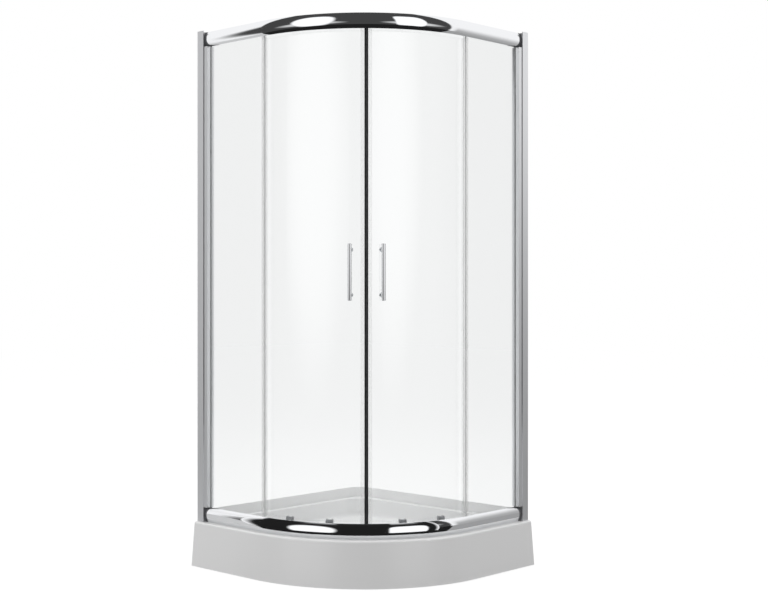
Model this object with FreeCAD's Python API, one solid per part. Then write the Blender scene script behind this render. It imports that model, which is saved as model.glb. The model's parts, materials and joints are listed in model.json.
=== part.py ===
import FreeCAD, Part
import math
import os

# Quadrant shower enclosure on a low tray. Millimetres, +Z up.
# The pieces are drawn in a corner frame: the room's corner is at the origin, the back wall
# runs along +X and the left wall along -Y, so the curved front faces +X and -Y.
# Right-hand pieces are drawn, and left-hand ones are mirrored about the diagonal of the corner.
# At the end all are moved so that the origin is the centre of the footprint, on the floor.

os.makedirs("parts", exist_ok=True)

# ---------------------------------------------------------------- driving dimensions
tray_side = 900.0             # wall to front, at the rim
front_radius = 550.0          # curved front, at the rim
apron_flare = 15.0            # how far the apron leans out at the floor
tray_height = 165.0           # floor to rim
shell_wall = 4.0              # acrylic
rim_fillet = 8.0
basin_depth = 70.0
basin_front_rim = 75.0        # width of the rim under the enclosure
basin_wall_rim = 40.0         # width of the rim at the walls
basin_draft = 10.0            # how much the basin narrows towards its floor
basin_back_radius = 80.0
basin_end_radius = 50.0
basin_floor_fillet = 18.0
upstand_height = 40.0
upstand_wall = 6.0
upstand_corner_radius = 60.0  # inside, in the room's corner
skirt_drop = 45.0             # how far the shell turns down along the walls
dish_radius = 230.0           # shallow fall of the floor to the waste
dish_depth = 5.0
dish_flat_radius = 60.0       # level ring round the waste

waste_x = 400.0               # centre of the waste from each wall
waste_hole_radius = 45.0
base_board = 16.0
board_inset = 22.0            # board edge inside the basin's outer wall
board_corner = 16.0           # its corners are this much tighter than the basin's
board_waste_gap = 14.0        # board clear of the trap

foot_places = [(120.0, 120.0), (680.0, 140.0), (140.0, 680.0), (640.0, 460.0), (460.0, 640.0)]
stud_radius = 5.0
stud_clearance = 0.06
nut_across_flats = 17.0
nut_height = 8.0
pad_across_flats = 40.0       # moulded foot pads, turned by their hexagon
pad_height = 12.0
bracket_side = 64.0
bracket_wall = 3.0
stud_end_gap = 0.5            # top of the studs below the base board

waste_flange_radius = 56.0
waste_flange_height = 2.2
waste_neck_depth = 20.0
waste_flange_wall = 2.7
waste_fit = 0.3               # flange's neck in the tray's hole, and cup in the flange
waste_gasket_height = 3.0
waste_body_radius = 56.0      # flange of the trap body
waste_body_collar = 4.0
waste_body_wall = 3.0
waste_body_low = 8.0          # underside of the trap above the floor
outlet_radius = 20.0
outlet_wall = 2.5
outlet_length = 95.0
outlet_push_fit = 45.0        # plain end that a pipe socket pushes over
outlet_shoulder = 2.5
outlet_lift = 3.0             # underside of the outlet above that of the trap
cup_radius = 37.0
cup_wall = 2.0
cup_low = 26.0
cup_collar = 3.0
cover_radius = 50.0
cover_wall = 2.5
cover_chamfer = 1.0
cover_rib_height = 3.0
cover_rib_width = 3.0
cover_rib_length = 8.0

enclosure_height = 1850.0     # rim to the top of the wall profiles
profile_width = 38.0
profile_depth = 34.0
profile_wall = 2.0
profile_hole_radius = 3.0
profile_hole_heights = (150.0, 650.0, 1200.0, 1700.0)
upstand_stop_gap = 2.0        # upstand ends short of the wall profile

jamb_wall = 1.5
jamb_low = 1.0                # jamb's foot above the rim
jamb_fit = 0.3                # jamb inside the wall profile, each side
jamb_start = 6.0              # jamb's back edge from the wall
jamb_reach = 54.0             # jamb's front from the wall
pocket_depth = 10.0           # glazing pocket in the jamb's front
gasket_wall = 1.3
gasket_fit = 0.2              # gasket round the pane, and in its pocket
gasket_proud = 1.5            # gasket in front of the jamb
jamb_screw_radius = 2.0
jamb_screw_clearance = 0.15
jamb_screw_length = 9.0
jamb_screw_from_wall = 20.4
jamb_screw_head = 7.0         # across the flats
jamb_screw_head_height = 2.2
cap_side = 12.0
cap_height = 3.6
cap_chamfer = 0.8
cap_fit = 0.3
jamb_screw_heights = (200.0, 925.0, 1650.0)

glass = 5.0
pane_inset = 33.0             # outer face of the fixed panes behind the front of the rim
door_space = 18.0             # between the fixed panes and the doors
pane_end_gap = 0.3            # fixed pane in front of its gasket

rail_stand = 13.0             # crown of the rails in front of the fixed panes
rail_bulge = 8.0              # crown of the D above its edges
rail_height = 55.0
rail_skin = 2.0
rail_reach = 9.0              # inner edge of the rail's web in front of the doors
rail_lip = 10.0               # stiffening lip on that edge
rail_lip_wall = 1.5
rail_top_drop = 5.0           # rail top below the top of the wall profiles
ledge_depth = 38.0            # wheel ledge from the rail's back
ledge_wall = 2.0
ledge_rib = 3.0
ledge_rib_inset = 1.0
ledge_rib_wall = 1.5
slot_rib_wall = 2.0
slot_fit = 0.3                # fixed pane in its slot, each side
rail_end = 45.5               # rail ends from the wall
connector_start = 34.5        # connectors' back face from the wall
connector_fit = 0.3
connector_corner = 22.0       # rounded corner of the visible cover
connector_sliver = 62.0       # length of its thin tail along the pane's edge
connector_sliver_height = 3.0
connector_tongue = 26.0
connector_slant = 6.0         # run of the tail's tip for each millimetre of its height
tongue_inset = 4.0            # tongue in front of the rail's inner edge
tongue_back = 1.0             # tongue behind the rail's skin

door_seam_gap = 0.4           # between the two magnetic strips when shut
magnet_width = 6.4
magnet_depth = 10.0
carrier_width = 14.0
seal_wall = 1.4
seal_fit = 0.1                # seals around the glass edges
seal_fin = 1.2                # thickness of the fins
seal_end_gap = 0.5            # seals short of the rails
door_end_angle = 47.0         # trailing edge, from the middle of the front
door_bottom_gap = 8.0         # glass above the rim
door_top_gap = 9.0            # glass below the rail's top
edge_seal_width = 14.0
edge_seal_grip = 3.0          # how much less of that width is round the glass
door_fin_gap = 7.0            # tip of the door's fin behind the fixed panes
fixed_fin_length = 5.5        # fin on the fixed pane's seal, from the pane's inner face

roller_angles = (15.5, 34.0)  # from the middle of the front
wheel_radius = 11.0
wheel_width = 5.0
track_inset = 12.0            # middle of the wheels in front of the rail's inner edge
wheel_gap = 0.3               # wheel from its ledge
axle_radius = 3.0
axle_clearance = 0.08
axle_shoulder_radius = 4.2    # the axle's thick part, up to the wheel
axle_end = 1.2                # axle beyond the wheel, for its spring clip
side_play = 0.3               # wheel to the axle's shoulder
block_width = 26.0
block_depth = 15.0
block_edge = 3.0              # chamfer of the blocks' inner edges
top_block_height = 35.0
bottom_block_low = 10.0       # underside of the bottom housings above the rim
bottom_block_high = 57.0      # their shoulders above the rim
block_fit = 0.3               # block from the curved glass
top_boss_radius = 6.0
bottom_boss_radius = 12.0
boss_fit = 0.4                # boss in the glass hole
clamp_wall = 1.8              # flange outside the glass that draws a block against it
clamp_margin = 4.0
boss_root = 2.0               # boss sunk into its block
release_travel = 8.0          # stroke of the quick-release slides
slide_width = 12.0
slide_depth = 8.0
slide_fit = 0.3
slide_inset = 3.0             # slide behind the glass
slide_low = 1.0               # slide's foot above the housing's when it is pushed down
axle_slot_fit = 0.6
ear_height = 6.0              # ears beside the release button
ear_edge = 2.8
ear_inset = 2.0
ear_root = 4.0
button_height = 4.0

handle_length = 200.0
handle_radius = 7.5
handle_centre_height = 936.0  # above the rim
handle_from_seam = 59.0
handle_post_spacing = 160.0
handle_post_radius = 5.0
handle_edge = 1.0
finger_gap = 29.5             # clear space between the bar and the glass
handle_hole_radius = 6.0
handle_cap_radius = 9.0
handle_cap = 7.0

# Path of the right door: it turns about an upright line, which keeps its wheels on the
# curve and then on the straight to within their side play in the rail. The line is given
# from the arc's centre, in radii of the wheel track.
pole_share = (-0.3233, 0.0794)
door_swing = 21.3             # degrees from shut to open
stop_length = 12.0
stop_gap = 1.0
stop_inset = 3.0              # stop in front of the rail's inner edge
stop_back = 0.5               # stop behind the rail's skin
stop_drop = 4.0               # stop's top below that of the wheels
over = 1.0                    # how far a cutting shape runs past what it cuts

# ---------------------------------------------------------------- derived dimensions
arc_centre = tray_side - front_radius
straight = arc_centre                      # wall to the start of the curve
footprint = tray_side + apron_flare
rim = tray_height
basin_floor = tray_height - basin_depth
rail_top = rim + enclosure_height - rail_top_drop
fixed_glass_face = front_radius - pane_inset           # from the arc's centre
fixed_glass_inner = fixed_glass_face - glass
door_glass_face = fixed_glass_inner - door_space
door_glass_inner = door_glass_face - glass
profile_inner = arc_centre + fixed_glass_face - profile_width / 2
profile_outer = profile_inner + profile_width
rail_face = fixed_glass_face + rail_stand
rail_inner = door_glass_face + rail_reach
wheel_track = rail_inner + track_inset
door_pole = (arc_centre + pole_share[0] * wheel_track, -arc_centre + pole_share[1] * wheel_track)
glass_edge_height = ledge_depth + ledge_wall + 1.0
handle_angle = math.degrees(handle_from_seam / (door_glass_face + finger_gap))
dish_floor = basin_floor - dish_depth
board_top = dish_floor - shell_wall
board_low = board_top - base_board


def vec(x, y, z=0.0):
    return FreeCAD.Vector(x, y, z)


UP = vec(0, 0, 1)
OUT = vec(1, 0)               # away from the arc's centre, before a piece is turned to its angle


# ---------------------------------------------------------------- drawing helpers
def box(x0, x1, y0, y1, z0, z1):
    return Part.makeBox(x1 - x0, y1 - y0, z1 - z0, vec(x0, y0, z0))


def wall_box(x0, x1, from_wall, to_wall, z0, z1):
    """A box measured along the back wall and out from it."""
    return box(x0, x1, -to_wall, -from_wall, z0, z1)


def rod(radius, height, x, y, z):
    return Part.makeCylinder(radius, height, vec(x, y, z), UP)


def tube(outer, inner, height, x, y, z):
    return rod(outer, height, x, y, z).cut(rod(inner, height + 2 * over, x, y, z - over))


def hexagon(across_flats, height, x, y, z):
    reach = across_flats / math.sqrt(3)
    corners = []
    for i in range(6):
        turn = math.radians(60 * i)
        corners.append(vec(x + reach * math.cos(turn), y + reach * math.sin(turn), z))
    return Part.Face(Part.makePolygon(corners + corners[:1])).extrude(vec(0, 0, height))


def section(points):
    """A face in the plane of the arc's radius; each point is (distance, height)."""
    corners = [vec(d, 0, z) for d, z in points]
    return Part.Face(Part.makePolygon(corners + corners[:1]))


def slab(d0, d1, z0, z1):
    return section([(d0, z0), (d1, z0), (d1, z1), (d0, z1)])


def onto_curve(shape, angle):
    """Turn a piece drawn on the +X axis to its angle from the middle of the front."""
    turned = shape.copy()
    turned.rotate(vec(0, 0), UP, angle - 45)
    turned.translate(vec(arc_centre, -arc_centre))
    return turned


def curved_band(d0, d1, z0, z1, angle0, angle1):
    """A band of the curve between two distances, two heights and two angles."""
    band = slab(d0, d1, z0, z1).revolve(vec(0, 0), UP, angle1 - angle0)
    return onto_curve(band, angle0)


def round_the_front(face, length):
    """Carry a radial section along one straight, round the curve and along the other."""
    at_left = face.copy()
    at_left.rotate(vec(0, 0), UP, -90)
    whole = at_left.revolve(vec(0, 0), UP, 90)
    whole = whole.fuse([face.extrude(vec(0, length)), at_left.extrude(vec(-length, 0))])
    whole = whole.removeSplitter()
    whole.translate(vec(arc_centre, -arc_centre))
    return whole


def plan_wire(wall_inset, front_inset, back_radius, end_radius, z):
    """Closed outline of a quadrant: two walls, two straights, the curve and round corners."""
    w = wall_inset
    far = tray_side - front_inset
    big = far - arc_centre
    lean = math.sqrt(0.5)

    def corner(cx, cy, radius, dx, dy):
        return vec(cx + radius * dx, cy + radius * dy, z)

    back = (w + back_radius, -w - back_radius)
    right = (far - end_radius, -w - end_radius)
    left = (w + end_radius, -far + end_radius)
    middle = (arc_centre, -arc_centre)
    edges = [
        Part.LineSegment(corner(*back, back_radius, 0, 1), corner(*right, end_radius, 0, 1)),
        Part.Arc(corner(*right, end_radius, 0, 1), corner(*right, end_radius, lean, lean),
                 corner(*right, end_radius, 1, 0)),
        Part.LineSegment(corner(*right, end_radius, 1, 0), corner(*middle, big, 1, 0)),
        Part.Arc(corner(*middle, big, 1, 0), corner(*middle, big, lean, -lean),
                 corner(*middle, big, 0, -1)),
        Part.LineSegment(corner(*middle, big, 0, -1), corner(*left, end_radius, 0, -1)),
        Part.Arc(corner(*left, end_radius, 0, -1), corner(*left, end_radius, -lean, -lean),
                 corner(*left, end_radius, -1, 0)),
        Part.LineSegment(corner(*left, end_radius, -1, 0), corner(*back, back_radius, -1, 0)),
        Part.Arc(corner(*back, back_radius, -1, 0), corner(*back, back_radius, -lean, lean),
                 corner(*back, back_radius, 0, 1)),
    ]
    return Part.Wire([edge.toShape() for edge in edges])


def mirrored(shape):
    """The left-hand twin of a right-hand piece."""
    return shape.mirror(vec(0, 0), vec(1, 1))


def group(shapes):
    return Part.makeCompound(shapes)


def keep(name, shape):
    """Place a finished piece in the part's frame and write it."""
    placed = shape.copy()
    placed.translate(vec(-footprint / 2, footprint / 2))
    for solid in placed.Solids:
        if not solid.isValid() or solid.Volume <= 0:
            raise ValueError(name + " is not a sound solid")
    placed.exportStep("parts/" + name + ".step")
    print(name, len(placed.Solids), round(placed.Volume / 1000, 1), "cm3")


def keep_pair(name, right):
    keep(name + "_right", right)
    keep(name + "_left", mirrored(right))


# ---------------------------------------------------------------- tray
def quadrant_block(front_points, height0, height1, length):
    """A full quadrant body: the front's section all round, and the square behind it."""
    front = round_the_front(section(front_points), length)
    inset = straight - length
    square = box(inset, arc_centre, -arc_centre, -inset, height0, height1)
    return front.fuse(square).removeSplitter()


def corner_cutter(radius, z0, z1):
    """What is cut off to round the outside corner at the room's corner."""
    square = box(-over, radius, -radius, over, z0, z1)
    return square.cut(rod(radius, z1 - z0, radius, -radius, z0))


def apron_body():
    foot = front_radius + apron_flare
    points = [(0, 0), (foot, 0), (front_radius, tray_height), (0, tray_height)]
    body = quadrant_block(points, 0, tray_height, straight)
    front_edges = []
    for edge in body.Edges:
        middle = edge.valueAt((edge.FirstParameter + edge.LastParameter) / 2)
        from_centre = math.hypot(middle.x - arc_centre, middle.y + arc_centre)
        on_front = max(middle.x, -middle.y) > tray_side - over or from_centre > front_radius - over
        off_walls = middle.y < -over and middle.x > over
        if abs(middle.z - tray_height) < 0.01 and on_front and off_walls:
            front_edges.append(edge)
    return body.makeFillet(rim_fillet, front_edges)


def underside():
    """The open space under the shell: everything inside the apron's skin and below the rim."""
    inner_foot = front_radius + apron_flare - shell_wall
    inner_rim = front_radius - shell_wall
    top = tray_height - shell_wall
    lean = apron_flare / tray_height
    points = [(0, -over), (inner_foot + lean * over, -over), (inner_rim + lean * shell_wall, top), (0, top)]
    hollow = quadrant_block(points, -over, top, straight - shell_wall)
    open_back = tray_height - skirt_drop
    at_back = wall_box(-over, arc_centre + inner_rim, -over, shell_wall + over, -over, open_back)
    return hollow.fuse([at_back, mirrored(at_back)])


def basin_form(grow, z0, z1):
    """The basin's space, or with grow its outer skin, narrowing towards the floor."""
    narrow = basin_draft * (z1 - z0) / basin_depth
    top = plan_wire(basin_wall_rim - grow, basin_front_rim - grow,
                    basin_back_radius + grow, basin_end_radius + grow, z1)
    bottom = plan_wire(basin_wall_rim - grow + narrow, basin_front_rim - grow + narrow,
                       basin_back_radius + grow - narrow, basin_end_radius + grow - narrow, z0)
    body = Part.makeLoft([bottom, top], True, True)
    low_edges = [edge for edge in body.Edges if abs(edge.BoundBox.ZMax - z0) < 0.01]
    return body, low_edges


def basin_space():
    body, low_edges = basin_form(0, basin_floor, tray_height)
    return body.makeFillet(basin_floor_fillet, low_edges)


def basin_skin():
    """Outside of the basin; its chamfer keeps the wall even round the fillet inside."""
    body, low_edges = basin_form(shell_wall, board_top, tray_height - shell_wall / 2)
    return body.makeChamfer((2 - math.sqrt(2)) * (basin_floor_fillet + shell_wall), low_edges)


def floor_dish():
    """The shallow cone in which the floor falls to the waste."""
    return Part.makeCone(dish_flat_radius, dish_radius, dish_depth, vec(waste_x, -waste_x, dish_floor), UP)


def upstand():
    stop = profile_inner - upstand_stop_gap
    root = tray_height - shell_wall
    top = tray_height + upstand_height
    outer = upstand_corner_radius + upstand_wall
    along_back = wall_box(outer, stop, 0, upstand_wall, root, top)
    corner = tube(outer, upstand_corner_radius, top - root, outer, -outer, root)
    corner = corner.common(box(0, outer, -outer, 0, root, top))
    return along_back.fuse([corner, mirrored(along_back)]).removeSplitter()


def tray_shell():
    outside_corner = upstand_corner_radius + upstand_wall
    body = apron_body().cut(corner_cutter(outside_corner, -over, tray_height + over))
    open_back = tray_height - skirt_drop
    inside_corner = box(-over, outside_corner, -outside_corner, over, open_back, tray_height)
    inside_corner = inside_corner.cut(rod(outside_corner - shell_wall, tray_height + 2 * over,
                                          outside_corner, -outside_corner, -over))
    shell = body.cut(underside().cut(inside_corner))
    shell = shell.fuse([basin_skin(), upstand()]).removeSplitter()
    drain = rod(waste_hole_radius, basin_depth, waste_x, -waste_x, board_top - over)
    back_cut = corner_cutter(outside_corner, -over, tray_height + upstand_height + over)
    return shell.cut([basin_space().fuse(floor_dish()), drain, back_cut]).removeSplitter()


def tray_base_panel():
    narrow = basin_draft + board_inset
    outline = plan_wire(basin_wall_rim + narrow, basin_front_rim + narrow,
                        basin_back_radius - board_corner, basin_end_radius - board_corner, board_low)
    board = Part.Face(outline).extrude(vec(0, 0, base_board))
    radius = waste_body_radius + board_waste_gap
    return board.cut(rod(radius, base_board + 2 * over, waste_x, -waste_x, board_low - over))


def foot_brackets():
    made = []
    half = bracket_side / 2
    low = board_low - bracket_wall
    for x, y in foot_places:
        plate = box(x - half, x + half, -y - half, -y + half, low, board_low)
        made.append(plate.cut(rod(stud_radius + stud_clearance, bracket_wall + 2 * over, x, -y, low - over)))
    return group(made)


def foot_studs():
    """Threaded studs that stand in their pads and pass up through the brackets."""
    length = board_low - stud_end_gap - pad_height
    return group([rod(stud_radius, length, x, -y, pad_height) for x, y in foot_places])


def foot_nuts():
    """A lock nut under each bracket."""
    made = []
    low = board_low - bracket_wall - nut_height
    for x, y in foot_places:
        bore = rod(stud_radius + stud_clearance, nut_height + 2 * over, x, -y, low - over)
        made.append(hexagon(nut_across_flats, nut_height, x, -y, low).cut(bore))
    return group(made)


def foot_pads():
    return group([hexagon(pad_across_flats, pad_height, x, -y, 0) for x, y in foot_places])


# ---------------------------------------------------------------- waste
waste_neck_radius = waste_hole_radius - waste_fit
waste_bore_radius = waste_neck_radius - waste_flange_wall
waste_body_top = board_top - waste_gasket_height
cup_rim_low = dish_floor + waste_flange_height + waste_fit
cover_low = cup_rim_low + cup_wall


def waste_gasket():
    return tube(waste_body_radius, waste_hole_radius + waste_fit, waste_gasket_height,
                waste_x, -waste_x, waste_body_top)


def waste_pipe(radius, length, height):
    """A level pipe from the trap's axis towards the back wall."""
    return Part.makeCylinder(radius, length, vec(waste_x, -waste_x, height), vec(0, 1))


def waste_body():
    inner = waste_hole_radius
    outer = inner + waste_body_wall
    pot = rod(outer, waste_body_top - waste_body_low, waste_x, -waste_x, waste_body_low)
    collar = rod(waste_body_radius, waste_body_collar, waste_x, -waste_x, waste_body_top - waste_body_collar)
    axis_height = waste_body_low + outlet_lift + outlet_shoulder + outlet_radius
    spigot = waste_pipe(outlet_radius, inner + outlet_length, axis_height)
    thick = waste_pipe(outlet_radius + outlet_shoulder, inner + outlet_length - outlet_push_fit, axis_height)
    body = pot.fuse([collar, spigot, thick]).removeSplitter()
    space = rod(inner, waste_body_top, waste_x, -waste_x, waste_body_low + waste_body_wall)
    bore = waste_pipe(outlet_radius - outlet_wall, inner + outlet_length + over, axis_height)
    return body.cut(space.fuse(bore))


def waste_flange():
    """Ring on the tray's floor, with a neck down through its hole."""
    ring = rod(waste_flange_radius, waste_flange_height, waste_x, -waste_x, dish_floor)
    low = dish_floor - waste_neck_depth
    neck = rod(waste_neck_radius, waste_neck_depth, waste_x, -waste_x, low)
    bore = rod(waste_bore_radius, 2 * waste_neck_depth, waste_x, -waste_x, low - over)
    return ring.fuse(neck).cut(bore)


def waste_cup():
    """Lift-out dip tube of the trap; its collar hangs on the flange."""
    wall = rod(cup_radius, cup_rim_low - cup_low, waste_x, -waste_x, cup_low)
    collar = rod(waste_bore_radius + cup_collar, cup_wall, waste_x, -waste_x, cup_rim_low)
    bore = rod(cup_radius - cup_wall, tray_height, waste_x, -waste_x, cup_low - over)
    return wall.fuse(collar).cut(bore)


def drain_cover():
    """Round cover that stands on four ribs over the cup."""
    low = cover_low + cover_rib_height
    plate = rod(cover_radius, cover_wall, waste_x, -waste_x, low)
    rim_edge = [edge for edge in plate.Edges if edge.BoundBox.ZMin > low + cover_wall / 2]
    plate = plate.makeChamfer(cover_chamfer, rim_edge)
    ribs = []
    for i in range(4):
        rib = box(cup_radius, cup_radius + cover_rib_length, -cover_rib_width / 2, cover_rib_width / 2,
                  cover_low, low)
        rib.rotate(vec(0, 0), UP, 45 + 90 * i)
        rib.translate(vec(waste_x, -waste_x))
        ribs.append(rib)
    return plate.fuse(ribs)


# ---------------------------------------------------------------- wall profile and jamb
def jamb_screw_bore(height):
    radius = jamb_screw_radius + jamb_screw_clearance
    start = vec(profile_inner - over, -jamb_screw_from_wall, rim + height)
    return Part.makeCylinder(radius, jamb_screw_length, start, OUT)


def wall_profile():
    top = rim + enclosure_height
    outer = wall_box(profile_inner, profile_outer, 0, profile_depth, rim, top)
    space = wall_box(profile_inner + profile_wall, profile_outer - profile_wall,
                     profile_wall, profile_depth + over, rim - over, top + over)
    middle = (profile_inner + profile_outer) / 2
    cutters = [space]
    for height in profile_hole_heights:
        start = vec(middle, -profile_wall - over, rim + height)
        cutters.append(Part.makeCylinder(profile_hole_radius, profile_wall + 2 * over, start, vec(0, 1)))
    cutters += [jamb_screw_bore(height) for height in jamb_screw_heights]
    return outer.cut(cutters)


jamb_low_x = profile_inner + profile_wall + jamb_fit
jamb_high_x = profile_outer - profile_wall - jamb_fit
pocket_low_x = arc_centre + fixed_glass_inner - gasket_wall - gasket_fit
pocket_high_x = arc_centre + fixed_glass_face + gasket_wall + gasket_fit
pocket_floor = jamb_reach - pocket_depth
gasket_low = rim + rail_height + connector_fit
gasket_high = rail_top - rail_height - connector_fit


def jamb():
    low = rim + jamb_low
    high = rail_top
    back = wall_box(jamb_low_x, jamb_high_x, jamb_start, jamb_reach, low, high)
    inside = wall_box(jamb_low_x + jamb_wall, jamb_high_x - jamb_wall,
                      jamb_start - over, profile_depth - jamb_wall, low - over, high + over)
    chamber = wall_box(jamb_low_x + jamb_wall, jamb_high_x - jamb_wall,
                       profile_depth, jamb_reach - jamb_wall, low - over, high + over)
    pocket_walls = wall_box(pocket_low_x - jamb_wall, pocket_high_x + jamb_wall,
                            pocket_floor - jamb_wall, jamb_reach, low - over, high + over)
    pocket = wall_box(pocket_low_x, pocket_high_x, pocket_floor, jamb_reach + over, low - over, high + over)
    cutters = [inside, chamber.cut(pocket_walls), pocket]
    seat = connector_start - connector_fit
    for z0, z1 in ((low - over, gasket_low), (gasket_high, high + over)):
        cutters.append(wall_box(jamb_low_x - over, jamb_high_x + over, seat, jamb_reach + over, z0, z1))
    cutters += [jamb_screw_bore(height) for height in jamb_screw_heights]
    return back.cut(cutters)


def glazing_gasket():
    """A U of rubber round the fixed pane's edge, inside the jamb's pocket."""
    outer = wall_box(pocket_low_x, pocket_high_x, pocket_floor, jamb_reach + gasket_proud,
                     gasket_low, gasket_high)
    space = wall_box(pocket_low_x + gasket_wall, pocket_high_x - gasket_wall, pocket_floor + gasket_wall,
                     jamb_reach + gasket_proud + over, gasket_low - over, gasket_high + over)
    return outer.cut(space)


def jamb_screw(height):
    """Hexagon-head screw through the inner side of the wall profile into the jamb."""
    place = vec(profile_inner, -jamb_screw_from_wall, rim + height)
    shank = Part.makeCylinder(jamb_screw_radius, jamb_screw_length, place, OUT)
    head = hexagon(jamb_screw_head, jamb_screw_head_height, 0, 0, 0)
    head.rotate(vec(0, 0), vec(0, 1), -90)
    head.translate(place)
    return head.fuse(shank)


def jamb_screw_cap(height):
    """Square snap-on cap over a jamb screw's head."""
    y, z = -jamb_screw_from_wall, rim + height
    half = cap_side / 2
    room = jamb_screw_head / math.sqrt(3) + cap_fit
    cap = box(profile_inner - cap_height, profile_inner, y - half, y + half, z - half, z + half)
    face_edges = [edge for edge in cap.Edges if edge.BoundBox.XMax < profile_inner - cap_height / 2]
    cap = cap.makeChamfer(cap_chamfer, face_edges)
    space = box(profile_inner - jamb_screw_head_height - cap_fit, profile_inner + over,
                y - room, y + room, z - room, z + room)
    return cap.cut(space)


# ---------------------------------------------------------------- rails
crown_radius = (rail_height ** 2 / 4 + rail_bulge ** 2) / (2 * rail_bulge)


def rail_d(shrink, inner):
    """The D of the rail, seen end on, from an inner edge to the crown; its back is at height 0."""
    radius = crown_radius - shrink
    centre = rail_face - crown_radius
    half = rail_height / 2 - shrink
    flat_end = centre + math.sqrt(radius ** 2 - half ** 2)
    high = vec(flat_end, 0, -shrink)
    low = vec(flat_end, 0, shrink - rail_height)
    inner_high = vec(inner, 0, -shrink)
    inner_low = vec(inner, 0, shrink - rail_height)
    crown = Part.Arc(high, vec(centre + radius, 0, -rail_height / 2), low).toShape()
    return Part.Face(Part.Wire([Part.makeLine(inner_high, high), crown, Part.makeLine(low, inner_low),
                                Part.makeLine(inner_low, inner_high)]))


def rail_sections():
    """The rail's skin, wheel ledge, ledge rib, glass slot rib and web lip; they overlap."""
    skin = rail_d(0, rail_inner).cut(rail_d(rail_skin, rail_inner - over))
    ledge_low = -ledge_depth - ledge_wall
    glass_gap = slab(rail_inner - over, fixed_glass_face + slot_fit, -rail_height - over, ledge_low)
    ledge_start = rail_inner + ledge_rib_inset
    ledge = slab(ledge_start, rail_face, ledge_low, -ledge_depth).common(rail_d(rail_skin / 2, rail_inner))
    ledge_middle = -ledge_depth - ledge_wall / 2
    rib = slab(ledge_start, ledge_start + ledge_rib_wall, ledge_middle, -ledge_depth + ledge_rib)
    slot_inner = fixed_glass_inner - slot_fit
    slot_rib = slab(slot_inner - slot_rib_wall, slot_inner, -rail_height + rail_skin, ledge_middle)
    lip = slab(rail_inner, rail_inner + rail_lip_wall, -rail_lip, -rail_skin / 2)
    return [skin.cut(glass_gap), ledge, rib, slot_rib, lip]


def cover_outline(grow):
    """Seen square to the straight rail: the part of its face that a connector covers.
    Across is the distance from the wall, down the distance from the rail's back."""
    strip = rail_end + grow
    radius = connector_corner
    thin = connector_sliver_height + grow
    tip = rail_end + connector_sliver + grow * connector_slant
    short = radius * (1 - math.sqrt(0.5))
    corner_low = rail_height - thin

    def point(across, down):
        return vec(0, -across, -down)

    outline = [Part.makeLine(point(connector_start, -over), point(strip, -over)),
               Part.makeLine(point(strip, -over), point(strip, corner_low - radius)),
               Part.Arc(point(strip, corner_low - radius), point(strip + short, corner_low - short),
                        point(strip + radius, corner_low)).toShape(),
               Part.makeLine(point(strip + radius, corner_low), point(tip, rail_height)),
               Part.makeLine(point(tip, rail_height), point(tip, rail_height + over)),
               Part.makeLine(point(tip, rail_height + over), point(connector_start, rail_height + over)),
               Part.makeLine(point(connector_start, rail_height + over), point(connector_start, -over))]
    prism = Part.Face(Part.Wire(outline)).extrude(vec(rail_face, 0))
    prism.translate(vec(arc_centre + fixed_glass_face + slot_fit, 0))
    return prism


def straight_d(shrink, from_wall, to_wall):
    """The rail's D as a straight bar between two distances from the back wall."""
    bar = rail_d(shrink, rail_inner - shrink).extrude(vec(0, to_wall - from_wall))
    bar.translate(vec(arc_centre, -to_wall))
    return bar


def rail():
    """The top rail, with its back at height 0."""
    length = straight - rail_end
    parts = [round_the_front(face, length) for face in rail_sections()]
    body = parts[0].fuse(parts[1:]).removeSplitter()
    cutter = cover_outline(connector_fit)
    return body.cut([cutter, mirrored(cutter)])


def connector():
    """Right-hand connector of the top rail, with the rail's back at height 0."""
    front_x = arc_centre + rail_face
    end = rail_end + connector_sliver + over
    back = wall_box(jamb_low_x, front_x, connector_start, rail_end - connector_fit, -rail_height, 0)
    skin = straight_d(0, connector_start, end).cut(straight_d(rail_skin, connector_start - over, end + over))
    cover = skin.common(cover_outline(0))
    tongue = wall_box(arc_centre + rail_inner + tongue_inset,
                      front_x - rail_bulge - rail_skin - tongue_back,
                      rail_end - connector_fit - over, rail_end + connector_tongue,
                      -ledge_depth + slide_fit, -rail_skin - slide_fit)
    body = back.fuse([cover, tongue]).removeSplitter()
    outside = wall_box(front_x - rail_bulge, front_x + rail_bulge, connector_start - over, end + over,
                       -rail_height - over, over)
    return body.cut(outside.cut(straight_d(0, connector_start - 2 * over, end + 2 * over)))


def flipped(shape):
    """Turn a piece of the top rail over, for the bottom rail."""
    return shape.mirror(vec(0, 0, 0), UP)


def at_height(shape, z):
    moved = shape.copy()
    moved.translate(vec(0, 0, z))
    return moved


def turned_about_pole(x, y, degrees):
    """Where a point of the right door goes when the door has turned by this much."""
    a = math.radians(degrees)
    dx = x - door_pole[0]
    dy = y - door_pole[1]
    return (door_pole[0] + dx * math.cos(a) - dy * math.sin(a),
            door_pole[1] + dx * math.sin(a) + dy * math.cos(a))


def rail_stop():
    """Rubber stop on the top rail's ledge, against the outer wheel of the open right door."""
    outer_wheel = math.radians(roller_angles[1] - 45)
    x = arc_centre + wheel_track * math.cos(outer_wheel)
    y = -arc_centre + wheel_track * math.sin(outer_wheel)
    x_open, y_open = turned_about_pole(x, y, door_swing)
    near = y_open + wheel_radius + stop_gap
    return box(arc_centre + rail_inner + stop_inset,
               arc_centre + rail_face - rail_bulge - rail_skin - stop_back,
               near, near + stop_length, -ledge_depth, -ledge_depth + 2 * wheel_radius - stop_drop)


# ---------------------------------------------------------------- fixed pane
seal_low = rim + rail_height + seal_end_gap
seal_high = rail_top - rail_height - seal_end_gap


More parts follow.
